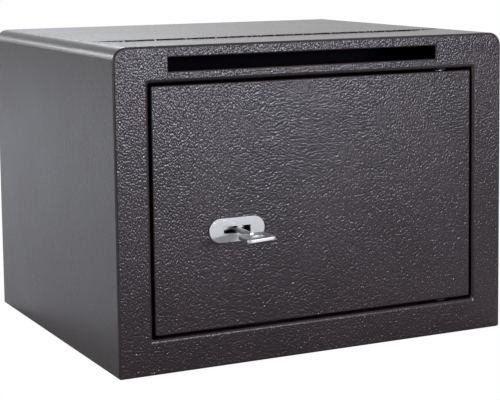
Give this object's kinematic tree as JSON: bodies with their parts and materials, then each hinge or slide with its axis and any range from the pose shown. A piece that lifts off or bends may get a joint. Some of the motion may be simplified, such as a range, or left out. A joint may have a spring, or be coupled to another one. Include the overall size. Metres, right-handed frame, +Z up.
{
  "type": "drop safe with deposit slot",
  "caption": "Compact steel drop safe with an open deposit slot above a flush key-locked door, with a working key, cam, bolt bar and round bolts.",
  "frame": {"origin": "middle of the footprint, on the underside of the floor", "axes": "+X to the right seen from the front, +Y to the back, +Z up; the door faces -Y"},
  "size_m": [0.35, 0.3462, 0.255],
  "materials": {
    "body_paint": "dark grey hammered powder coat",
    "inner_paint": "thin smooth dark grey coat on the inner pieces",
    "satin_nickel": "satin nickel plate",
    "zinc": "zinc plated steel",
    "bright_steel": "turned bright steel",
    "brass": "turned brass",
    "felt": "thin needle felt"
  },
  "bodies": {
    "root": {"body_wrap": "body_paint", "front_frame": "body_paint", "rear_panel": "body_paint", "deposit_chute": "inner_paint", "anti_fishing_baffle": "inner_paint", "floor_mat": "felt", "bolt_keeper": "inner_paint", "upper_door_stop": "inner_paint", "lower_door_stop": "inner_paint", "upper_hinge_bush": "brass", "lower_hinge_bush": "brass", "hinge_washer": "bright_steel"},
    "door": {"door_leaf": "body_paint", "upper_hinge_block": "inner_paint", "lower_hinge_block": "inner_paint", "upper_hinge_pin": "bright_steel", "lower_hinge_pin": "bright_steel", "escutcheon": "satin_nickel", "lock_case": "zinc", "bolt_guide": "zinc", "lock_cover": "inner_paint", "upper_guide_stud": "zinc", "lower_guide_stud": "zinc", "upper_guide_nut": "zinc", "lower_guide_nut": "zinc", "left_lock_stud": "zinc", "right_lock_stud": "zinc", "left_lock_nut": "zinc", "right_lock_nut": "zinc", "cover_stud_1": "zinc", "cover_stud_2": "zinc", "cover_stud_3": "zinc", "cover_stud_4": "zinc", "cover_nut_1": "zinc", "cover_nut_2": "zinc", "cover_nut_3": "zinc", "cover_nut_4": "zinc"},
    "rotor": {"key_rotor": "bright_steel", "drive_cam": "zinc", "cam_nut": "zinc"},
    "key": {"key": "satin_nickel"},
    "boltwork": {"bolt_bar": "zinc", "upper_bolt": "bright_steel", "lower_bolt": "bright_steel", "cam_follower": "bright_steel"}
  },
  "joints": [
    {"name": "door_hinge", "type": "hinge", "parent": "root", "child": "door", "pos_m": [0.1185, -0.14, 0.1275], "axis": [0, 0, 1], "range_deg": [0, 110]},
    {"name": "key_turn", "type": "hinge", "parent": "door", "child": "rotor", "pos_m": [-0.0745, -0.146, 0.1085], "axis": [0, -1, 0], "range_deg": [0, 180]},
    {"name": "key_slide", "type": "slide", "parent": "rotor", "child": "key", "axis": [0, -1, 0], "range_m": [0, 0.022]},
    {"name": "bolt_slide", "type": "slide", "parent": "door", "child": "boltwork", "axis": [-1, 0, 0], "range_m": [0, 0.012]}
  ],
  "couplings": [
    {"joint": "key_turn", "follows": "bolt_slide", "rad_per_m": 261.8}
  ]
}
